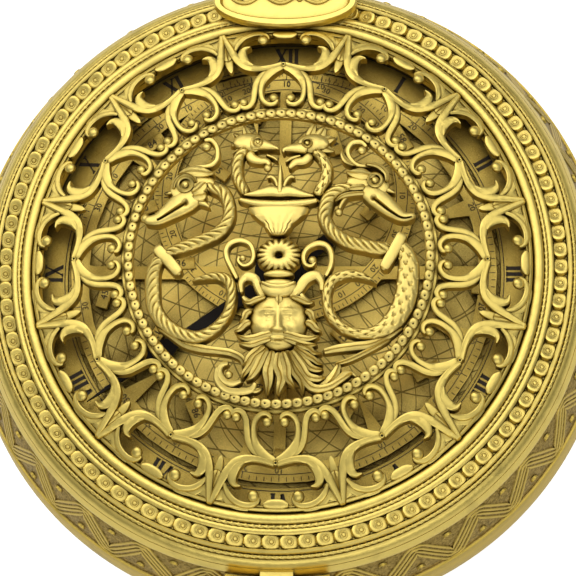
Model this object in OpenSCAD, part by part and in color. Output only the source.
// Drum clock watch with pierced, domed covers. It lies face up on its back cover.
// Millimetres. The origin is on the drum's axis, on the surface the back cover rests on.
// +Z is up through the face, and the pendant is towards +Y.

/* [Case] */
// Outer radius of both covers, where they meet the band
cover_r = 41.7; // [41:0.1:46]
// How far the belt stands out beyond the covers
belt_step = 2.5; // [1.5:0.1:3.5]
// Extra bulge of the plain belt at its middle
belt_bulge = 1.0; // [0.3:0.1:1.6]
// Wall thickness of the band
case_wall = 1.6; // [1.2:0.1:2.0]
// Height of the engraved flare on the face side
front_flare_h = 7.4; // [6.5:0.1:9]
// Height of the plain belt
belt_h = 9; // [8:0.1:12]
// Height of the engraved flare on the back side
back_flare_h = 5.5; // [4.5:0.1:8]
// Width of the sharp fillet at each edge of the belt
fillet_w = 0.35; // [0.1:0.05:0.5]

/* [Covers] */
// Gap between a closed cover and the band
cover_gap = 0.15; // [0.1:0.05:0.3]
// Height of a cover rim below its coin band
rim_h = 3.2; // [2.8:0.1:4]
// Thickness of a cover rim under its mouldings
rim_t = 1.8; // [1.4:0.1:2.2]
// How far the coin band lies outside the middle between its two ropes
coin_off = 0.1; // [0:0.05:0.2]
// Width of the coin band
coin_w = 2.0; // [1.6:0.1:2.2]
// Distance from the pierced plate's edge out to the inner rope moulding
rope_in_gap = 1.6; // [1.5:0.1:1.8]
// Distance from the cover's edge in to the outer rope moulding
rope_out_gap = 2.2; // [2:0.1:2.4]
// Thickness of a rope moulding
rope_w = 0.7; // [0.5:0.05:0.8]
// Distance from the cover's edge in to the pierced scroll plate
grille_inset = 7.8; // [7.5:0.1:8.4]
// Thickness of a pierced plate
grille_t = 1.2; // [0.9:0.1:1.5]
// Radius of the front dome
dome_r = 105; // [95:1:140]
// Radius of the back dome
back_dome_r = 280; // [260:1:400]
// Rise of a pierced plate's edge above the coin band
edge_rise = 1.25; // [1.1:0.05:1.5]
// Radius of the bead ring's middle line
bead_r = 20.25; // [19:0.05:22]
// Width of the bead ring
bead_w = 1.3; // [1:0.1:1.6]
// How far the centre relief stands out of the dome
relief_h = 1.1; // [0.6:0.1:1.6]
// Depth of the lip that a cover pushes into the band
lip_h = 1.0; // [0.6:0.1:1.2]
// Thickness of the lip
lip_t = 0.7; // [0.5:0.1:0.9]
// Clearance between the lip and the band
lip_clear = 0.15; // [0.1:0.05:0.3]
// Width of the lift plate at twelve o'clock
lift_w = 20; // [16:0.5:24]
// Length of the lift plate, from the face outwards
lift_l = 11; // [9:0.5:12]
// Thickness of the lift plate
lift_t = 1.8; // [1.2:0.1:2.4]

/* [Hinges] */
// Outer radius of a hinge knuckle
hinge_r = 1.4; // [1.2:0.1:1.6]
// Radius of the hinge pins
hinge_pin_r = 0.6; // [0.4:0.05:0.8]
// Length of a whole hinge
hinge_l = 14; // [12:0.5:18]
// Clearance between a pin and a turning knuckle
pin_clear = 0.05; // [0.03:0.01:0.08]
// Clearance between knuckle ends, and round a knuckle
knuckle_gap = 0.2; // [0.15:0.05:0.35]

/* [Pendant] */
// Radius of the pendant's neck
neck_r = 2.6; // [2:0.1:3.4]
// Radius of the pendant's knob
knob_r = 4.2; // [3.8:0.1:5]
// Distance of the knob's centre from the belt
knob_out = 5.5; // [5:0.1:8]
// Middle radius of the suspension ring
ring_r = 9; // [8:0.5:11]
// Radius of the ring's wire
ring_wire_r = 1.1; // [0.9:0.05:1.3]
// Slope of the ring as it lies against the table, in degrees
ring_slope = 57; // [40:1:57]

/* [Dial] */
// Clearance of the dial plate in the band
dial_clear = 0.2; // [0.1:0.05:0.3]
// Thickness of the dial plate
dial_t = 1.0; // [0.8:0.1:1.2]
// Height of the dial plate's top below the band's top edge
dial_drop = 1.35; // [1.3:0.05:2]
// Thickness of the ledge that carries the dial plate
ledge_t = 1.2; // [0.8:0.1:1.6]
// Width of the ledge
ledge_w = 2.9; // [2.5:0.1:3.4]
// Distance from the band's inside to the chapter ring
chapter_gap = 3.5; // [3.1:0.1:4.1]
// Width of the chapter ring
chapter_w = 6.8; // [5.6:0.1:7.6]
// Thickness of the chapter ring
chapter_t = 0.8; // [0.5:0.1:0.9]
// Thickness of the plate under the rete
tympan_t = 0.5; // [0.3:0.1:0.7]
// Thickness of the rete
rete_t = 0.6; // [0.4:0.1:0.8]
// Thickness of the hour hand
hand_t = 0.6; // [0.4:0.1:0.8]
// Distance from the chapter ring's outer edge to the tip of the hour hand
hand_short = 4.6; // [1.6:0.1:8.6]
// Half width of the hour hand's blade
hand_w = 1.0; // [0.8:0.1:1.4]
// Free height between turning pieces of the dial
dial_air = 0.4; // [0.3:0.05:0.6]

/* [Movement] */
// Radius of the movement's plates
plate_r = 34; // [33.5:0.1:35]
// Thickness of the movement's plates
plate_t = 1.5; // [1.2:0.1:1.8]
// Height between the plates
pillar_h = 10.5; // [10.5:0.1:12]
// Height between the front plate and the dial plate
motion_h = 2.5; // [2.4:0.1:3]
// Radius of an arbor between the plates
arbor_r = 0.8; // [0.6:0.05:0.9]
// Radius of an arbor's pivot
pivot_r = 0.5; // [0.35:0.05:0.6]
// Clearance of a pivot in its hole
pivot_clear = 0.03; // [0.02:0.01:0.06]
// Tooth module of the fusee wheel and the dial's wheels
going_m = 0.5; // [0.49:0.005:0.51]
// Tooth module of the smaller wheels
train_m = 0.45; // [0.44:0.005:0.455]
// Tooth module of the striking wheels
strike_m = 0.4; // [0.39:0.005:0.405]
// Radius of the going barrel
barrel_r = 8; // [7:0.1:8.2]
// Radius of the striking barrel
strike_barrel_r = 7.5; // [6.5:0.1:7.6]
// Largest radius of the fusee
fusee_r = 7.4; // [6.5:0.1:7.5]
// Smallest radius of the fusee
fusee_top_r = 3.8; // [3:0.1:4.5]
// Radius of the gut line
gut_r = 0.25; // [0.2:0.01:0.3]
// Length of the foliot's bar
foliot_l = 13; // [10:0.5:14]

/* [Bell] */
// Radius of the bell's mouth
bell_r = 29; // [28.5:0.1:30]
// Height of the bell
bell_h = 5.4; // [4.8:0.1:5.6]
// Thickness of the bell's metal
bell_t = 1.1; // [0.9:0.1:1.3]
// Height of the bell's crown above the table
bell_z = 2.8; // [2.7:0.1:3]
// Clearance between the bell's nut and the back cover's plate
bell_gap = 0.45; // [0.3:0.05:0.6]

/* [Hidden] */
$fn = 48;
back_cover_h = 6.7;
band_z0 = back_cover_h + cover_gap;
belt_z0 = band_z0 + back_flare_h;
belt_z1 = belt_z0 + belt_h;
band_z1 = belt_z1 + front_flare_h;
belt_z = (belt_z0 + belt_z1) / 2;
belt_r = cover_r + belt_step;
grille_r = cover_r - grille_inset;
rope_in_r = grille_r + rope_in_gap;
rope_out_r = cover_r - rope_out_gap;
coin_r = (rope_in_r + rope_out_r) / 2 + coin_off;
rim_z0 = band_z1 + cover_gap;
coin_z = rim_z0 + rim_h;
inner_r = cover_r - case_wall;
chapter_r = inner_r - chapter_gap;
chapter_in_r = chapter_r - chapter_w;
hand_l = chapter_r - hand_short;
dome_z = coin_z + edge_rise - sqrt(dome_r * dome_r - grille_r * grille_r);
back_coin_z = back_cover_h - rim_h;
back_edge_z = back_coin_z - edge_rise;
back_dome_z = edge_rise - sqrt(back_dome_r * back_dome_r - grille_r * grille_r);
bell_nut_z = back_coin_z - (back_dome_z + back_dome_r) + grille_t + bell_gap;

hinge_y = -(cover_r + hinge_r + 0.3);
front_hinge_z = band_z1 + cover_gap / 2;
back_hinge_z = band_z0 - cover_gap / 2;
knob_y = belt_r + belt_bulge + knob_out;
lift_z = coin_z + 1.4;
lift_y = cover_r + 3 - lift_l / 2;

dial_z1 = band_z1 - dial_drop;
dial_z0 = dial_z1 - dial_t;
front_plate_z1 = dial_z0 - motion_h;
front_plate_z0 = front_plate_z1 - plate_t;
back_plate_z1 = front_plate_z0 - pillar_h;
back_plate_z0 = back_plate_z1 - plate_t;
rete_z = dial_z1 + chapter_t + 0.1;
hand_z = rete_z + rete_t + dial_air;
nut_z = hand_z + hand_t;
pipe_r = 2.0;
stud_r = 1.0;

// Tooth counts of the going train, the dial's wheels and the striking train
great_n = 60;
second_pinion_n = 10;
second_n = 48;
contrate_pinion_n = 8;
contrate_n = 40;
crown_n = 15;
motion_n = 12;
hour_n = 36;
strike_great_n = 54;
pin_pinion_n = 9;
pin_n = 36;
third_pinion_n = 8;
third_n = 32;
fly_pinion_n = 6;

function polar(radius, angle) = radius * [cos(angle), sin(angle)];
function mesh(m, a, b) = m * (a + b) / 2;

second_way = 35;
contrate_way = 100;
crown_way = 154.5;
barrel_way = 190.3;
pin_way = 260;
third_way = -4;
fly_way = 25;
fusee_at = [0, -mesh(going_m, motion_n, hour_n)];
second_at = fusee_at + polar(mesh(going_m, great_n, second_pinion_n), second_way);
contrate_at = second_at + polar(mesh(train_m, second_n, contrate_pinion_n), contrate_way);
barrel_at = fusee_at + polar(fusee_r + barrel_r + 4 * gut_r + 0.4, barrel_way);
strike_at = [-17, 14];
pin_at = strike_at + polar(mesh(strike_m, strike_great_n, pin_pinion_n), pin_way);
third_at = pin_at + polar(mesh(strike_m, pin_n, third_pinion_n), third_way);
fly_at = third_at + polar(mesh(strike_m, third_n, fly_pinion_n), fly_way);
hammer_at = [-27, -7];
collar_r = arbor_r + 1.3;
count_r = 7;
detent_tip = strike_at + polar(count_r + 1.1, 55);
detent_at = detent_tip + polar(7.5, 145);
contrate_r = 6.6;
crown_r = 4.2;
crown_out = contrate_r + 7.4;
pallet_reach = 0.8;
verge_at = contrate_at + polar(crown_out + 1.6 + pallet_reach + 0.1, crown_way);
pillar_ways = [15, 80, 165, 255, 300];
pillar_out = 31;
foot_ways = [45, 205, 330];
foot_out = 32;
screw_ways = [35, 125, 215, 305];
great_z = back_plate_z1 + 0.5;
barrel_z = great_z + 1.7;
fusee_h = 7.2;
second_z = front_plate_z0 - 2.9;
pinion_h = 1.6;
contrate_z = great_z + 0.8;
crown_z = contrate_z + 3.9;
pin_z = front_plate_z0 - 2.8;
third_z = back_plate_z1 + 3.1;
foliot_z = back_plate_z0 - 1.9;
motion_z = front_plate_z1 + 0.4;
motion_t = 1.5;
head_at = [-20.6, -12.6];

gilt = "#d8bd62";
pale_gilt = "#e6d27e";
brass = "#c9a227";
steel = "#8d9299";
blued = "#2f3d63";
silvered = "#cfc9b0";
bell_metal = "#b59a4a";
gut = "#b98a4e";

// Curves

function between(p, i, t) =
    let (a = p[max(i - 1, 0)], b = p[i], c = p[i + 1], d = p[min(i + 2, len(p) - 1)])
    0.5 * (2 * b + (c - a) * t + (2 * a - 5 * b + 4 * c - d) * t * t + (3 * b - a - 3 * c + d) * t * t * t);
function smooth_line(p, steps = 2) =
    [for (i = [0:len(p) - 2]) for (k = [0:steps - 1]) between(p, i, k / steps), p[len(p) - 1]];
function side_step(p, i, side) =
    let (a = p[max(i - 1, 0)], b = p[min(i + 1, len(p) - 1)], l = norm([b[0] - a[0], b[1] - a[1]]))
    [p[i][0] - side * (b[1] - a[1]) / l * p[i][2] / 2, p[i][1] + side * (b[0] - a[0]) / l * p[i][2] / 2];

// A strand through points of [x, y, width], with a round knob at its end where one is given
module strand(points, knob = 0, steps = 2) {
    line = smooth_line(points, steps);
    last = len(line) - 1;
    polygon(concat([for (i = [0:last]) side_step(line, i, 1)], [for (i = [last:-1:0]) side_step(line, i, -1)]));
    if (knob > 0)
        translate([line[last][0], line[last][1]])
            circle(knob, $fn = 16);
}

module both_sides() {
    children();
    mirror([1, 0])
        children();
}

// Wheels

// A tooth is given by its half widths, as shares of the pitch, at root, pitch line and tip
function tooth_ring(n, m, phase, foot = 1.2, head = 0.8, root = 0.24, flank = 0.2, tip = 0.09) =
    [for (i = [0:n - 1]) for (c = [[-root, -foot], [-flank, 0], [-tip, head], [tip, head], [flank, 0], [root, -foot]])
        polar(m * n / 2 + c[1] * m, phase + (i + c[0]) * 360 / n)];

module wheel_plate(n, m, t, phase, hub_r) {
    r = m * n / 2;
    linear_extrude(t)
        difference() {
            polygon(tooth_ring(n, m, phase));
            for (k = [0:4])
                rotate(k * 72 + 20)
                    translate([(hub_r + r - 1.2 * m) / 2, 0])
                        circle((r - 1.2 * m - hub_r) * 0.3);
        }
}

module pinion(n, m, h, phase) {
    linear_extrude(h)
        polygon(tooth_ring(n, m, phase, foot = 1.25, head = 0.6, root = 0.2, flank = 0.18, tip = 0.08));
}

// An arbor between the plates, with a pivot in each of them
module arbor(z0 = back_plate_z1 + 0.1, z1 = front_plate_z0 - 0.1, below = plate_t, above = plate_t, r = arbor_r) {
    translate([0, 0, z0])
        cylinder(r = r, h = z1 - z0);
    translate([0, 0, z0 - 0.1 - below])
        cylinder(r = pivot_r, h = z1 - z0 + 0.2 + below + above);
}

module at(place, z = 0) {
    translate([place[0], place[1], z])
        children();
}

// Case

function belt_curve(steps = 5) =
    [for (i = [0:steps]) [belt_r + belt_bulge * sin(180 * i / steps), belt_z0 + belt_h * i / steps]];

module knuckles(z, turning, up) {
    part_l = hinge_l / 3;
    for (x = turning ? [0] : [-part_l, part_l])
        translate([x, hinge_y, z])
            rotate([0, 90, 0])
                cylinder(r = hinge_r, h = part_l - (turning ? knuckle_gap : 0), center = true);
    lug_y = cover_r - 1 + hinge_y;
    for (x = turning ? [0] : [-part_l, part_l])
        translate([x, hinge_y - lug_y / 2, z + up * (hinge_r / 2 + cover_gap / 2 + 0.02)])
            cube([part_l - (turning ? knuckle_gap : 0), -lug_y, hinge_r - cover_gap - 0.24], center = true);
}

module hinge_bore(z, r) {
    translate([0, hinge_y, z])
        rotate([0, 90, 0])
            cylinder(r = r, h = hinge_l + 2, center = true);
}

module knuckle_room(z, turning) {
    part_l = hinge_l / 3;
    for (x = turning ? [0] : [-part_l, part_l])
        translate([x, hinge_y, z])
            rotate([0, 90, 0])
                cylinder(r = hinge_r + knuckle_gap, h = part_l + (turning ? knuckle_gap : 0.2), center = true);
}

module case_band() {
    outer = concat(
        [[cover_r, band_z0], [belt_r, belt_z0 - fillet_w], [belt_r + fillet_w, belt_z0 - fillet_w]],
        [for (p = belt_curve()) if (p[1] > belt_z0 && p[1] < belt_z1) p],
        [[belt_r + fillet_w, belt_z1 + fillet_w], [belt_r, belt_z1 + fillet_w], [cover_r, band_z1]]);
    inner = [
        [inner_r, band_z1], [inner_r, dial_z0], [inner_r - ledge_w, dial_z0], [inner_r - ledge_w, dial_z0 - ledge_t],
        [belt_r - case_wall, belt_z1], [belt_r - case_wall, belt_z0], [inner_r, band_z0]
    ];
    color(gilt)
        difference() {
            union() {
                rotate_extrude()
                    polygon(concat(outer, inner));
                knuckles(front_hinge_z, false, -1);
                knuckles(back_hinge_z, false, 1);
            }
            hinge_bore(front_hinge_z, hinge_pin_r);
            hinge_bore(back_hinge_z, hinge_pin_r);
            knuckle_room(front_hinge_z, true);
            knuckle_room(back_hinge_z, true);
            translate([0, belt_r - case_wall - 1, belt_z])
                rotate([-90, 0, 0])
                    cylinder(r = neck_r - 1, h = case_wall + belt_bulge + 3);
            for (a = screw_ways)
                at(polar(screw_out(), a), dial_z0 - ledge_t - 3)
                    cylinder(r = 0.6, h = ledge_t + 4);
        }
}

function screw_out() = inner_r - ledge_w / 2 - 0.2;

// Covers

// A pierced plate sits this far below its coin band
seat_drop = 0.15;

// Outline of a cover rim, with heights above its coin band
function rim_outline() = [
    [grille_r - 0.9, -rim_t], [grille_r - 0.9, -seat_drop], [grille_r + 0.1, -seat_drop],
    [grille_r + 0.1, edge_rise - 0.05],
    [rope_in_r - rope_w / 2 - 0.15, edge_rise + 0.1], [rope_in_r - rope_w / 2, 0.6], [rope_in_r + rope_w / 2, 0.6],
    [rope_in_r + rope_w / 2 + 0.1, 0.85], [coin_r - coin_w / 2 - 0.1, 0.5], [coin_r - coin_w / 2, 0],
    [coin_r + coin_w / 2, 0], [coin_r + coin_w / 2 + 0.1, 0.35], [rope_out_r - rope_w / 2 - 0.05, 0.25],
    [rope_out_r - rope_w / 2, -0.45], [rope_out_r + rope_w / 2, -0.55], [rope_out_r + rope_w / 2 + 0.25, -0.75],
    [cover_r, -rim_h + 0.3], [cover_r, -rim_h], [inner_r - lip_clear, -rim_h], [inner_r - lip_clear, -rim_h - lip_h],
    [inner_r - lip_clear - lip_t, -rim_h - lip_h], [inner_r - lip_clear - lip_t, -rim_t]
];

module rim_ring() {
    rotate_extrude()
        union() {
            polygon(rim_outline());
            translate([rope_in_r, 0.6])
                circle(rope_w / 2, $fn = 24);
            translate([rope_out_r, -0.45])
                circle(rope_w / 2, $fn = 24);
        }
}

module front_cover_rim() {
    color(gilt)
        difference() {
            union() {
                translate([0, 0, coin_z])
                    rim_ring();
                knuckles(front_hinge_z, true, 1);
            }
            hinge_bore(front_hinge_z, hinge_pin_r + pin_clear);
            knuckle_room(front_hinge_z, false);
            lift_foot();
        }
}

module back_cover_rim() {
    color(gilt)
        difference() {
            union() {
                translate([0, 0, back_coin_z])
                    mirror([0, 0, 1])
                        rim_ring();
                knuckles(back_hinge_z, true, -1);
            }
            hinge_bore(back_hinge_z, hinge_pin_r + pin_clear);
            knuckle_room(back_hinge_z, false);
        }
}

// The scroll plate: a place is an angle off the heart's axis and a share of the way
// from the bead ring to the plate's edge
units = 12;
scroll_w = grille_r - bead_r;
// The ring that the inner strands end on reaches this share of the way
collar_share = 0.09;
function scroll(points) =
    [for (p = points) let (r = bead_r + p[1] * scroll_w) [r * sin(p[0]), r * cos(p[0]), p[2] * scroll_w]];

heart_strand = [[0, 0.57, 0.07], [3.4, 0.49, 0.08], [6.4, 0.37, 0.085], [6.9, 0.24, 0.085], [5, 0.12, 0.08],
    [2.6, 0.12, 0.07], [2.2, 0.19, 0.07]];
outer_strand = [[2, 0.54, 0.05], [6.8, 0.48, 0.06], [9.8, 0.36, 0.06], [10.8, 0.19, 0.06], [12.8, 0.11, 0.05],
    [13.7, 0.17, 0.05]];
arm_strand = [[0, 0.56, 0.08], [4.5, 0.52, 0.08], [9.5, 0.555, 0.095], [12.5, 0.68, 0.1], [14.1, 0.82, 0.08],
    [15, 0.93, 0.05]];
leaf_strand = [[10.4, 0.57, 0.05], [12, 0.68, 0.11], [9.8, 0.79, 0.06], [8.6, 0.77, 0.04]];
rim_strand = [[13.6, 0.8, 0.05], [11.7, 0.89, 0.06], [8, 0.94, 0.06], [5.2, 0.89, 0.06], [5.2, 0.81, 0.07]];

module scroll_unit() {
    both_sides() {
        for (line = [heart_strand, outer_strand, arm_strand, leaf_strand, rim_strand])
            strand(scroll(line), steps = 1);
    }
    polygon([for (p = scroll([[-3.4, 1.02, 0], [-3.6, 0.87, 0], [0, 0.84, 0], [3.6, 0.87, 0], [3.4, 1.02, 0]]))
        [p[0], p[1]]]);
}

module ring_2d(outer, inner) {
    difference() {
        circle(outer);
        circle(inner);
    }
}

// One unit's strands, cut off inside the rings that join the units
module scroll_strands() {
    reach = 180 / units - 0.1;
    inner = bead_r + 0.1;
    outer = grille_r - 0.3;
    offset(delta = 0.02)
        intersection() {
            scroll_unit();
            polygon(concat([for (k = [-6:6]) polar(inner, 90 + k * reach / 6)],
                [for (k = [6:-1:-6]) polar(outer, 90 + k * reach / 6)]));
        }
}

// Cuts a flat pattern into a domed sheet, from a distance above the dome to one below it
module domed(r, centre_z, above, below, low) {
    intersection() {
        translate([0, 0, low])
            linear_extrude(14)
                children();
        translate([0, 0, centre_z])
            difference() {
                sphere(r + above, $fn = 96);
                sphere(r - below, $fn = 96);
            }
    }
}

// A ring that stands a little proud of the sheet on both faces
module band_ring(r0, r1, r, centre_z) {
    top = 0.1;
    rotate_extrude()
        polygon([
            [r0, centre_z + dome_height(r, r0) + top], [r1, centre_z + dome_height(r, r1) + top],
            [r1, centre_z + dome_height(r, r1) - grille_t - 0.2], [r0, centre_z + dome_height(r, r0) - grille_t - 0.2]
        ]);
}

function dome_height(r, x) = sqrt(r * r - x * x);

module scroll_plate(r, centre_z, low) {
    for (k = [0:units - 1])
        rotate(k * 360 / units)
            domed(r, centre_z, 0, grille_t, low)
                scroll_strands();
    band_ring(bead_r - bead_w / 2, bead_r + collar_share * scroll_w, r, centre_z);
    band_ring(grille_r - 1, grille_r, r, centre_z);
}

module front_cover_grille() {
    color(pale_gilt)
        union() {
            scroll_plate(dome_r, dome_z, coin_z - 2);
            translate([0, 0, dome_z + dome_height(dome_r, bead_r) + 0.1])
                rotate_extrude()
                    translate([bead_r, 0])
                        circle(bead_w * 0.45, $fn = 24);
        }
}

// The centre relief: places are hundredths of the bead ring's radius
function relief(points) = [for (p = points) p * bead_r / 100];

left_neck = [[-48, 48, 9], [-39, 47, 9], [-32.5, 40, 9], [-31, 30, 9], [-36, 19, 9], [-47, 11, 9], [-59, 6, 8],
    [-68, 1, 7]];
left_head = [[-44, 50, 5], [-50, 52, 12], [-60, 50, 17], [-69, 42, 12], [-77, 32, 9], [-85, 26, 7], [-97, 24, 5]];
left_crest = [[-47, 56, 3], [-56, 62, 6], [-66, 60, 4], [-74, 59, 3], [-77, 55, 3]];
left_curl = [[-66, 65, 3], [-54, 66, 4], [-44, 70, 4], [-42, 78, 4], [-47, 83, 4], [-50, 77, 3]];
left_clasp = [[-80, 10, 5], [-72, 2, 7], [-62, -8, 5]];
left_tail = [[-77, -42, 3], [-70, -53, 6], [-56, -60, 6], [-40, -61, 6], [-29, -66, 5], [-22, -74, 3]];
left_scroll = [[-15, -83, 5], [-25, -87, 6], [-34, -84, 5], [-39, -77, 5], [-36, -70, 4], [-31, -70, 4],
    [-27, -74, 4]];
left_spiral = [[-30, -14, 4], [-32, 0, 4], [-29, 7, 4], [-24, 10, 4], [-18, 8, 4], [-16, 2, 4], [-19, -3, 4],
    [-24, -2, 4]];
bird_neck = [[-23, 71, 8], [-29, 62, 9], [-28, 51, 9], [-22, 43, 7], [-14, 41, 5]];
bird_head = [[-27, 84, 4], [-21, 79, 12], [-14, 78, 12], [-7, 73, 8], [0, 70, 4]];
bird_beak = [[-18, 71, 6], [-12, 66, 5], [-8, 61, 4]];
bird_crest = [[-20, 82, 6], [-26, 88, 5], [-29, 93, 5]];
right_tongue = [[44, 42, 3], [40, 38, 3], [38, 32, 3]];
ear_scroll = [[-9, -20, 5], [-15, -12, 6], [-23, -10, 6], [-26, -17, 6], [-21, -23, 6]];
beard_locks = [
    [[0, -56, 12], [-1, -75, 12], [-1, -93, 5]], [[-6, -58, 12], [-11, -75, 10], [-9, -88, 4]],
    [[-11, -56, 10], [-20, -68, 9], [-22, -80, 4]], [[5, -58, 12], [12, -76, 10], [11, -90, 4]],
    [[10, -56, 10], [20, -72, 10], [30, -80, 8], [40, -76, 3]], [[-10, -50, 8], [-20, -53, 6], [-27, -52, 3]],
    [[10, -50, 8], [20, -53, 6], [27, -52, 3]], [[8, -60, 10], [20, -80, 8], [34, -86, 6], [48, -78, 3]]
];

// A ring-shaped body that tapers to its tail
function coil(centre, rx, ry, width, a0, a1) =
    [for (k = [0:14]) let (a = a0 + (a1 - a0) * k / 14)
        [centre[0] + rx * cos(a), centre[1] + ry * sin(a), width * (1 - 0.6 * pow(k / 14, 3))]];

module creature(swell) {
    strand(relief(left_neck));
    strand(relief(left_head));
    strand(relief(left_crest));
    strand(relief(left_curl), bead_r * 0.025);
    strand(relief(left_clasp));
    strand(relief(left_tail));
    strand(relief(coil([-56.5, -29.5], 25.5, 25.5, 9 * swell, 128, 455)));
}

module vessel() {
    polygon([for (p = [[-4, 11], [-4, 16], [-12, 21], [-20, 29], [-22, 31], [-26, 33], [-26, 38], [-14, 42], [-3, 45],
        [-2, 62], [2, 62], [3, 45], [14, 42], [26, 38], [26, 33], [22, 31], [20, 29], [12, 21], [4, 16], [4, 11]])
        p * bead_r / 100]);
}

module mask_shape() {
    polygon([for (p = [[-8, -9], [-12, -12], [-12, -18], [-18, -27], [-20, -38], [-19, -50], [-12, -58], [0, -62],
        [12, -58], [19, -50], [20, -38], [18, -27], [12, -18], [12, -12], [8, -9]]) p * bead_r / 100]);
}

module relief_pattern() {
    difference() {
        union() {
            creature(1);
            mirror([1, 0])
                creature(1.15);
            both_sides() {
                strand(relief(left_spiral));
                strand(relief(bird_neck));
                strand(relief(bird_head));
                strand(relief(bird_beak));
                strand(relief(bird_crest));
                strand(relief(ear_scroll));
            }
            strand(relief(left_scroll), bead_r * 0.03);
            strand(relief(right_tongue), bead_r * 0.025);
            for (lock = beard_locks)
                strand(relief(lock));
            vessel();
            mask_shape();
            circle(bead_r * 0.128);
            translate([0, -bead_r * 0.13])
                square([bead_r * 0.21, bead_r * 0.1], center = true);
        }
        circle(bead_r * 0.027, $fn = 24);
    }
}

module cover_relief() {
    color(pale_gilt)
        domed(dome_r, dome_z, relief_h, 1, coin_z)
            intersection() {
                offset(delta = 0.02)
                    relief_pattern();
                circle(bead_r - bead_w / 2, $fn = 120);
            }
}

module lift_outline(grow) {
    w = lift_w / 2 + grow;
    l = lift_l / 2 + grow;
    straight = 1.8;
    polygon(concat(
        [for (a = [0:12:180]) [w * cos(a), straight + (l - straight) * sin(a)]],
        [for (a = [180:12:360]) [w * cos(a), -straight + (l - straight) * sin(a)]]));
}

module lift_foot() {
    foot_h = lift_z - coin_z + 2.2;
    translate([0, rope_out_r + rope_w / 2 + 0.3, lift_z + 0.2 - foot_h / 2])
        cube([lift_w / 3, 1.2, foot_h], center = true);
}

module cover_lift_plate() {
    color(gilt)
        difference() {
            union() {
                translate([0, lift_y, lift_z])
                    linear_extrude(lift_t)
                        lift_outline(0);
                lift_foot();
            }
            translate([0, lift_y, lift_z + lift_t - 0.6])
                linear_extrude(1)
                    lift_outline(-1.3);
        }
}

module hinge_pin(z) {
    color(steel)
        translate([0, hinge_y, z])
            rotate([0, 90, 0])
                cylinder(r = hinge_pin_r, h = hinge_l + 0.4, center = true);
}

// The back plate is the same sheet turned over, with a rosette of round holes
module back_cover_plate() {
    boss_r = 6;
    color(pale_gilt)
        union() {
            translate([0, 0, back_coin_z])
                mirror([0, 0, 1])
                    union() {
                        scroll_plate(back_dome_r, back_dome_z, -2);
                        domed(back_dome_r, back_dome_z, 0, grille_t, -2)
                            difference() {
                                circle(bead_r - 0.1, $fn = 96);
                                circle(1.2);
                                for (k = [0:units - 1])
                                    rotate(k * 360 / units)
                                        translate([bead_r * 0.62, 0])
                                            circle(bead_r * 0.085, $fn = 24);
                            }
                    }
            cylinder(r = boss_r, h = 1);
            rotate_extrude()
                translate([bead_r - bead_w * 0.4, 0])
                    square([bead_w * 0.8, back_edge_z]);
        }
}

// Pendant

module pendant_stem() {
    out = knob_y - belt_r - belt_bulge;
    color(gilt)
        translate([0, belt_r + belt_bulge, belt_z])
            rotate([-90, 0, 0])
                difference() {
                    union() {
                        rotate_extrude()
                            polygon([[0, -2.5], [neck_r - 1, -2.5], [neck_r - 1, 0], [neck_r + 1.4, 0],
                                [neck_r + 1.4, 0.6], [neck_r, 1.4], [neck_r, out], [0, out]]);
                        translate([0, 0, out])
                            sphere(knob_r);
                        translate([0, 0, out + knob_r - 0.5])
                            cylinder(r = 1.2, h = 1.3);
                    }
                    translate([0, 0, out])
                        rotate([0, 90, 0])
                            cylinder(r = ring_bore(), h = 3 * knob_r, center = true);
                }
}

function ring_bore() = ring_wire_r + ring_r - sqrt(ring_r * ring_r - knob_r * knob_r) + 0.15;

module pendant_ring() {
    color(gilt)
        translate([0, knob_y, belt_z])
            rotate([-ring_slope, 0, 0])
                translate([0, ring_r, 0])
                    rotate_extrude()
                        translate([ring_r, 0])
                            circle(ring_wire_r, $fn = 24);
}

// Dial

module dial_plate() {
    color(silvered)
        union() {
            difference() {
                at([0, 0], dial_z0)
                    cylinder(r = inner_r - dial_clear, h = dial_t);
                at([0, 0], dial_z0 - 1)
                    cylinder(r = pipe_r + 0.1, h = dial_t + 2);
                for (a = screw_ways)
                    at(polar(screw_out(), a), dial_z0 - 1) {
                        cylinder(r = 0.6, h = dial_t + 2);
                        translate([0, 0, 1 + dial_t / 2])
                            cylinder(r = 1, h = dial_t);
                    }
            }
            for (a = foot_ways)
                at(polar(foot_out, a), front_plate_z1)
                    cylinder(r = 1.2, h = motion_h);
        }
}

module dial_screws() {
    color(blued)
        for (a = screw_ways)
            at(polar(screw_out(), a), dial_z0 - ledge_t)
                union() {
                    cylinder(r = 0.6, h = ledge_t + dial_t / 2);
                    translate([0, 0, ledge_t + dial_t / 2])
                        difference() {
                            cylinder(r = 1, h = dial_t / 2);
                            translate([-1.5, -0.15, dial_t / 4])
                                cube([3, 0.3, 1]);
                        }
                }
}

module tympan_plate() {
    color(silvered)
        at([0, 0], dial_z1)
            linear_extrude(tympan_t)
                ring_2d(chapter_in_r - 0.1, pipe_r + 0.1);
}

module chapter_ring() {
    color(gilt)
        at([0, 0], dial_z1)
            linear_extrude(chapter_t)
                ring_2d(chapter_r, chapter_in_r);
}

module rete_pattern() {
    rim_r = chapter_in_r - 0.6;
    zodiac_r = rim_r * 0.62;
    ring_2d(rim_r, rim_r - 2.4);
    translate([0, rim_r - zodiac_r])
        ring_2d(zodiac_r, zodiac_r - 2.8);
    square([2 * rim_r - 2, 1.8], center = true);
    square([1.6, 2 * rim_r - 2], center = true);
    circle(pipe_r + 2);
    for (a = [20:40:340])
        rotate(a)
            polygon([[rim_r - 1, -1.4], [rim_r - 9, 0.4], [rim_r - 1, 1.4]]);
}

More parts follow.
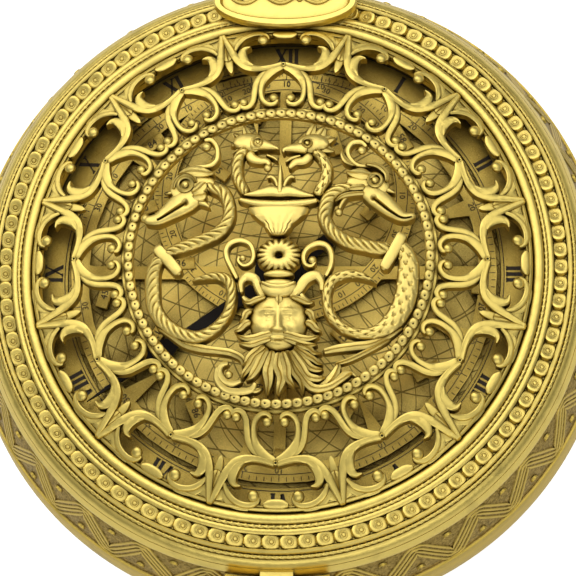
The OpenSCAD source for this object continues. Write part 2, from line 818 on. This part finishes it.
module rete() {
    color(gilt)
        at([0, 0], rete_z)
            linear_extrude(rete_t)
                difference() {
                    offset(delta = 0.01)
                        rete_pattern();
                    circle(pipe_r);
                }
}

module hour_hand() {
    color(blued)
        at([0, 0], hand_z)
            linear_extrude(hand_t)
                difference() {
                    union() {
                        circle(pipe_r + 1.8);
                        rotate(215)
                            polygon([[0, -hand_w], [hand_l * 0.55, -hand_w * 0.8], [hand_l * 0.62, -hand_w * 1.7],
                                [hand_l * 0.7, -hand_w * 0.6], [hand_l, 0], [hand_l * 0.7, hand_w * 0.6],
                                [hand_l * 0.62, hand_w * 1.7], [hand_l * 0.55, hand_w * 0.8], [0, hand_w]]);
                        rotate(35)
                            translate([5, 0])
                                square([8, 2], center = true);
                    }
                    circle(pipe_r);
                }
}

module hand_nut() {
    color(steel)
        at([0, 0], nut_z)
            difference() {
                cylinder(r = 2.7, h = 0.9);
                translate([0, 0, -1])
                    cylinder(r = stud_r + 0.05, h = 3);
            }
}

module hour_wheel() {
    color(brass)
        difference() {
            union() {
                at([0, 0], motion_z)
                    wheel_plate(hour_n, going_m, motion_t, 270 + 180 / hour_n, pipe_r + 1);
                at([0, 0], motion_z)
                    cylinder(r = pipe_r, h = nut_z - motion_z);
            }
            cylinder(r = stud_r + 0.05, h = 60);
        }
}

module centre_stud() {
    color(steel)
        at([0, 0], front_plate_z1)
            union() {
                cylinder(r = stud_r + 1, h = 0.3);
                cylinder(r = stud_r, h = nut_z + 0.8 - front_plate_z1);
            }
}

// Movement

pin_r = 0.35;

// Every arbor that turns in both plates
pivots = [fusee_at, second_at, contrate_at, pin_at, third_at, fly_at, hammer_at];

module plate_holes(z) {
    for (p = pivots)
        at(p, z - 1)
            cylinder(r = pivot_r + pivot_clear, h = plate_t + 2);
    at(barrel_at, z - 1)
        cylinder(r = arbor_r, h = plate_t + 2);
    for (a = pillar_ways)
        at(polar(pillar_out, a), z - 1)
            cylinder(r = 1, h = plate_t + 2);
}

module front_plate() {
    color(brass)
        difference() {
            at([0, 0], front_plate_z0)
                cylinder(r = plate_r, h = plate_t);
            plate_holes(front_plate_z0);
            at(verge_at, front_plate_z0 - 1)
                cylinder(r = pivot_r + pivot_clear, h = 2);
            at(strike_at, front_plate_z0 - 1)
                cylinder(r = arbor_r, h = plate_t + 2);
        }
}

module back_plate() {
    color(brass)
        difference() {
            at([0, 0], back_plate_z0)
                cylinder(r = plate_r, h = plate_t);
            plate_holes(back_plate_z0);
            at(verge_at, back_plate_z0 - 1)
                cylinder(r = 1.2, h = plate_t + 2);
            at(strike_at, back_plate_z0 - 1)
                cylinder(r = collar_r + pivot_clear, h = plate_t + 2);
            at(detent_at, back_plate_z0 - 1)
                cylinder(r = pivot_r + pivot_clear, h = plate_t + 2);
        }
}

module taper_pin(a, r1, r2) {
    at(polar(pillar_out, a), front_plate_z1 + 0.35)
        rotate([0, 90, a + 90])
            cylinder(r1 = r1, r2 = r2, h = 4.4, center = true);
}

module pillars() {
    color(brass)
        for (a = pillar_ways)
            difference() {
                at(polar(pillar_out, a), back_plate_z0)
                    rotate_extrude()
                        polygon([[0, 0], [1, 0], [1, plate_t], [2, plate_t], [2, plate_t + 1], [1.2, plate_t + 1.6],
                            [1.8, plate_t + pillar_h / 2], [1.2, plate_t + pillar_h - 1.6], [2, plate_t + pillar_h - 1],
                            [2, plate_t + pillar_h], [1, plate_t + pillar_h], [1, 2 * plate_t + pillar_h + 1.3],
                            [0, 2 * plate_t + pillar_h + 1.3]]);
                taper_pin(a, pin_r, pin_r);
            }
}

module taper_pins() {
    color(steel)
        for (a = pillar_ways)
            taper_pin(a, pin_r, pin_r - 0.1);
}

module great_wheel() {
    color(brass)
        at(fusee_at)
            union() {
                at([0, 0], great_z)
                    wheel_plate(great_n, going_m, 1.2, second_way, arbor_r + 1);
                arbor(below = plate_t + 1.6, above = plate_t);
                at([0, 0], motion_z)
                    pinion(motion_n, going_m, motion_t, 90);
                at([0, 0], front_plate_z0)
                    cylinder(r = pivot_r, h = motion_z - front_plate_z0);
                at([0, 0], back_plate_z0 - 1.5)
                    translate([-0.5, -0.5, -0.9])
                        cube([1, 1, 1.2]);
            }
}

// The fusee is turned as steps, one for each turn of the line
module fusee_cone() {
    turns = 7;
    step = fusee_h / turns;
    color(brass)
        at(fusee_at, barrel_z)
            difference() {
                rotate_extrude()
                    polygon(concat([[0, 0]],
                        [for (k = [0:turns - 1]) let (r = fusee_r - (fusee_r - fusee_top_r) * k / (turns - 1))
                            for (c = [[r, 0.05], [r - gut_r, 0.3], [r - gut_r, 0.7], [r, 0.95]])
                                [c[0], step * (k + c[1])]],
                        [[0, fusee_h]]));
                translate([0, 0, -1])
                    cylinder(r = arbor_r, h = fusee_h + 2);
            }
}

// Three turns lie on the barrel, and a straight stretch runs to the fusee's third turn
module gut_line() {
    away = fusee_at - barrel_at;
    long = norm(away);
    way = atan2(away[1], away[0]);
    clear = 0.1;
    loop_r = barrel_r + gut_r + clear;
    turn_z = barrel_z + fusee_h / 7 * 2.5;
    turn_r = fusee_r - (fusee_r - fusee_top_r) / 3 + clear;
    lean = asin((loop_r - turn_r) / long);
    pitch = 2.4 * gut_r;
    color(gut)
        union() {
            at(barrel_at, turn_z)
                rotate_extrude()
                    polygon(concat([[loop_r - gut_r, -2.5 * pitch], [loop_r - gut_r, pitch / 2]],
                        [for (k = [0:2]) for (c = [[0.6, 0.4], [1, 0.15], [1, -0.15], [0.6, -0.4]])
                            [loop_r + gut_r * c[0], pitch * (c[1] - k)]]));
            at(barrel_at, turn_z)
                rotate([0, 0, way - 90 - lean])
                    translate([-loop_r, 0, 0])
                        rotate([-90, 0, 0])
                            cylinder(r = gut_r * 0.9, h = long * cos(lean));
        }
}

module drum(r, h, wall = 0.6) {
    difference() {
        cylinder(r = r, h = h);
        translate([0, 0, wall])
            cylinder(r = r - wall, h = h - 2 * wall);
        translate([0, 0, -1])
            cylinder(r = arbor_r + pivot_clear, h = h + 2);
    }
}

module coiled_spring(r, h, turns = 6) {
    thick = 0.25;
    r0 = arbor_r + 0.3 + thick;
    steps = turns * 16;
    linear_extrude(h)
        polygon(concat(
            [for (i = [0:steps]) polar(r0 + (r - r0) * i / steps, i * 22.5)],
            [for (i = [steps:-1:0]) polar(r0 + (r - r0) * i / steps - thick, i * 22.5)]));
}

module spring_arbor(h, z) {
    color(steel)
        union() {
            at([0, 0], back_plate_z0)
                cylinder(r = arbor_r, h = front_plate_z1 - back_plate_z0);
            at([0, 0], z + 1)
                difference() {
                    cylinder(r = arbor_r + 0.3, h = h - 2);
                    translate([arbor_r + 0.1, -0.5, h / 2 - 1.5])
                        cube([1, 1, 1]);
                }
        }
}

barrel_h = 7.4;
strike_barrel_h = 5;
strike_barrel_z = great_z + 1.3;

module going_barrel() {
    color(brass)
        at(barrel_at, barrel_z)
            drum(barrel_r, barrel_h);
}

module going_barrel_arbor() {
    at(barrel_at)
        spring_arbor(barrel_h, barrel_z);
}

module going_mainspring() {
    color(blued)
        at(barrel_at, barrel_z + 1)
            coiled_spring(barrel_r - 0.9, barrel_h - 2);
}

module second_wheel() {
    color(brass)
        at(second_at)
            union() {
                at([0, 0], second_z)
                    wheel_plate(second_n, train_m, 1, contrate_way, arbor_r + 1);
                at([0, 0], great_z - 0.2)
                    pinion(second_pinion_n, going_m, pinion_h, second_way + 180 + 180 / second_pinion_n);
                arbor();
            }
}

module contrate_wheel() {
    tooth_h = 1.2;
    color(brass)
        at(contrate_at)
            union() {
                at([0, 0], contrate_z)
                    cylinder(r = contrate_r, h = 0.8);
                at([0, 0], contrate_z)
                    linear_extrude(1.6)
                        ring_2d(contrate_r, contrate_r - 0.7);
                for (k = [0:contrate_n - 1])
                    rotate(k * 360 / contrate_n)
                        translate([contrate_r - 0.7, 0, contrate_z + 1.6])
                            rotate([90, 0, 90])
                                linear_extrude(0.7)
                                    polygon([[-0.26, -0.1], [-0.1, tooth_h], [0.1, tooth_h], [0.26, -0.1]]);
                at([0, 0], second_z - 0.3)
                    pinion(contrate_pinion_n, train_m, pinion_h, contrate_way + 180 + 180 / contrate_pinion_n);
                arbor();
            }
}

// The crown wheel turns on a level arbor, over the contrate wheel's teeth
module crown_wheel() {
    pinion_at = contrate_r - 0.7;
    tip_z = contrate_z + 1.6 + 1.2;
    color(brass)
        at(contrate_at, crown_z)
            rotate([0, 0, crown_way])
                rotate([0, 90, 0])
                    union() {
                        translate([0, 0, pinion_at - 0.3])
                            pinion(6, (crown_z - tip_z - 0.06) * 2 / 7.2, 1.4, 30);
                        translate([0, 0, 4])
                            cylinder(r = 0.45, h = crown_out - 3.5);
                        translate([0, 0, crown_out])
                            cylinder(r = crown_r, h = 0.5);
                        translate([0, 0, crown_out])
                            linear_extrude(1)
                                ring_2d(crown_r, crown_r - 0.5);
                        for (k = [0:crown_n - 1])
                            rotate(k * 360 / crown_n)
                                translate([crown_r - 0.5, 0, crown_out + 0.9])
                                    rotate([90, 0, 90])
                                        linear_extrude(0.45)
                                            polygon([[-0.6, 0], [0.5, 0], [0.5, 0.7]]);
                    }
}

module verge() {
    color(steel)
        at(verge_at)
            union() {
                at([0, 0], foliot_z - 1.6)
                    cylinder(r = 0.45, h = front_plate_z0 + 0.9 - foliot_z + 1.6);
                for (s = [-1, 1])
                    at([0, 0], crown_z + s * crown_r * 0.86 - 0.5)
                        rotate([0, 0, crown_way + 180 + s * 45])
                            translate([0, -0.15, 0])
                                cube([pallet_reach, 0.3, 1]);
            }
}

module foliot() {
    color(steel)
        at(verge_at, foliot_z)
            difference() {
                union() {
                    cylinder(r = 1.3, h = 0.9);
                    translate([0, 0, 0.45])
                        cube([foliot_l, 1, 0.7], center = true);
                    for (s = [-1, 1])
                        translate([s * (foliot_l / 2 - 1.1), 0, -0.1])
                            cylinder(r = 1.1, h = 1.1);
                }
                translate([0, 0, -1])
                    cylinder(r = 0.45, h = 3);
            }
}

module foliot_cock() {
    z = foliot_z - 1.1;
    post_at = [verge_at[0] + 3.5, verge_at[1] - 9.2];
    color(gilt)
        difference() {
            union() {
                at(post_at, z)
                    cylinder(r = 1.4, h = back_plate_z0 - z);
                flat_bar(post_at, verge_at, 1.9, z, 0.7);
            }
            at(verge_at, z - 1)
                cylinder(r = 0.45 + pivot_clear, h = 3);
        }
}

// A flat bar with round ends, from one place to another
module flat_bar(a, b, w, z, t) {
    way = b - a;
    translate([0, 0, z])
        linear_extrude(t)
            union() {
                translate(a)
                    circle(w / 2);
                translate(b)
                    circle(w / 2);
                translate(a)
                    rotate(atan2(way[1], way[0]))
                        translate([0, -w / 2])
                            square([norm(way), w]);
            }
}

module potences() {
    color(brass)
        at(contrate_at, crown_z)
            rotate([0, 0, crown_way])
                for (x = [4.3, crown_out - 1.4])
                    translate([x, 0, 0])
                        difference() {
                            translate([-0.4, -1.1, -1.1])
                                cube([0.8, 2.2, front_plate_z0 - crown_z + 1.1]);
                            rotate([0, 90, 0])
                                cylinder(r = 0.45 + pivot_clear, h = 4, center = true);
                        }
}

// Striking

module strike_barrel() {
    color(brass)
        at(strike_at)
            difference() {
                union() {
                    at([0, 0], strike_barrel_z)
                        drum(strike_barrel_r, strike_barrel_h);
                    at([0, 0], great_z)
                        linear_extrude(strike_barrel_z - great_z)
                            polygon(tooth_ring(strike_great_n, strike_m, pin_way));
                    at([0, 0], back_plate_z0 - 1.5)
                        cylinder(r = collar_r, h = great_z - back_plate_z0 + 1.5);
                }
                cylinder(r = arbor_r + pivot_clear, h = 60);
            }
}

module strike_barrel_arbor() {
    color(steel)
        at(strike_at)
            union() {
                at([0, 0], back_plate_z0 - 2.2)
                    cylinder(r = arbor_r, h = front_plate_z1 - back_plate_z0 + 2.2);
                at([0, 0], strike_barrel_z + 0.8)
                    cylinder(r = arbor_r + 0.3, h = strike_barrel_h - 1.6);
            }
}

module strike_mainspring() {
    color(blued)
        at(strike_at, strike_barrel_z + 0.8)
            coiled_spring(strike_barrel_r - 0.9, strike_barrel_h - 1.6);
}

// The notches' spacing grows with the hours, one blow to twelve
module count_wheel() {
    blows = 78;
    color(brass)
        at(strike_at, back_plate_z0 - 1.4)
            linear_extrude(0.8)
                difference() {
                    circle(count_r);
                    circle(collar_r);
                    for (hour = [1:12])
                        rotate(hour * (hour + 1) / 2 * 360 / blows)
                            translate([count_r - 0.4, 0])
                                square([1.2, 0.7], center = true);
                }
}

module pin_wheel() {
    color(brass)
        at(pin_at)
            union() {
                at([0, 0], pin_z)
                    wheel_plate(pin_n, strike_m, 0.8, third_way, arbor_r + 1);
                at([0, 0], great_z - 0.2)
                    pinion(pin_pinion_n, strike_m, 1.5, pin_way + 180 + 180 / pin_pinion_n);
                for (k = [0:12])
                    at(polar(5.7, k * 360 / 13), pin_z + 0.7)
                        cylinder(r = 0.25, h = 1.1);
                arbor();
            }
}

module third_wheel() {
    color(brass)
        at(third_at)
            union() {
                at([0, 0], third_z)
                    wheel_plate(third_n, strike_m, 0.8, fly_way, arbor_r + 1);
                at([0, 0], pin_z - 0.4)
                    pinion(third_pinion_n, strike_m, 1.5, third_way + 180 + 180 / third_pinion_n);
                arbor();
            }
}

module fly() {
    color(steel)
        at(fly_at)
            union() {
                at([0, 0], third_z - 0.4)
                    pinion(fly_pinion_n, strike_m, 1.5, fly_way + 180 + 180 / fly_pinion_n);
                at([0, 0], third_z + 1.6)
                    translate([-3, -0.2, 0])
                        cube([6, 0.4, 4]);
                arbor(r = 0.6);
            }
}

module hammer() {
    z = back_plate_z0 - 1.1;
    tail_end = hammer_at + [3.7, 2.7];
    color(steel)
        union() {
            at(hammer_at)
                arbor(below = plate_t + 1);
            flat_bar(hammer_at, tail_end, 1.4, pin_z + 1.1, 0.8);
            flat_bar(hammer_at, head_at, 1.6, z, 0.9);
            at(head_at, z - 1.6)
                cylinder(r = 1.5, h = 1.8);
        }
}

module hammer_spring() {
    z = back_plate_z0 - 1;
    foot_at = [-25, 5];
    color(blued)
        union() {
            at(foot_at, z)
                cylinder(r = 1.2, h = back_plate_z0 - z);
            flat_bar(foot_at, [-24.2, -6.6], 0.5, z, 0.8);
        }
}

module detent() {
    color(steel)
        union() {
            at(detent_at, back_plate_z0 - 1.4)
                cylinder(r = pivot_r, h = plate_t + 1.4);
            flat_bar(detent_at, detent_tip, 1.2, back_plate_z0 - 1.4, 0.8);
        }
}

function bell_rise(r) = bell_h * pow(r / bell_r, 3);

module bell() {
    rings = 7;
    stud_hole = 1.25;
    outer = [for (k = [0:rings]) let (r = stud_hole + (bell_r - stud_hole) * k / rings) [r, bell_z + bell_rise(r)]];
    inner = [for (k = [rings:-1:0]) let (r = stud_hole + (bell_r - bell_t - stud_hole) * k / rings)
        [r, bell_z + bell_t + (bell_h - bell_t) * pow(r / (bell_r - bell_t), 3)]];
    color(bell_metal)
        difference() {
            rotate_extrude()
                polygon(concat(outer, inner));
            for (p = [fusee_at, strike_at])
                at(p, 0)
                    cylinder(r = 2, h = 12);
        }
}

module bell_stud() {
    color(steel)
        union() {
            at([0, 0], bell_nut_z + 0.05)
                cylinder(r = 1.2, h = back_plate_z0 - bell_nut_z - 0.05);
            at([0, 0], bell_z + bell_t + 0.02)
                cylinder(r = 2.4, h = back_plate_z0 - bell_z - bell_t - 0.02);
        }
}

module bell_nut() {
    color(steel)
        at([0, 0], bell_nut_z)
            difference() {
                cylinder(r = 2.6, h = bell_z - bell_nut_z, $fn = 6);
                translate([0, 0, -1])
                    cylinder(r = 1.2, h = 3);
            }
}

case_band();
front_cover_rim();
front_cover_grille();
cover_relief();
cover_lift_plate();
hinge_pin(front_hinge_z);  // front_hinge_pin
back_cover_rim();
back_cover_plate();
hinge_pin(back_hinge_z);  // back_hinge_pin
pendant_stem();
pendant_ring();
dial_plate();
dial_screws();
tympan_plate();
chapter_ring();
rete();
hour_hand();
hand_nut();
hour_wheel();
centre_stud();
front_plate();
back_plate();
pillars();
taper_pins();
great_wheel();
fusee_cone();
gut_line();
going_barrel();
going_barrel_arbor();
going_mainspring();
second_wheel();
contrate_wheel();
crown_wheel();
verge();
foliot();
foliot_cock();
potences();
strike_barrel();
strike_barrel_arbor();
strike_mainspring();
count_wheel();
pin_wheel();
third_wheel();
fly();
hammer();
hammer_spring();
detent();
bell();
bell_stud();
bell_nut();
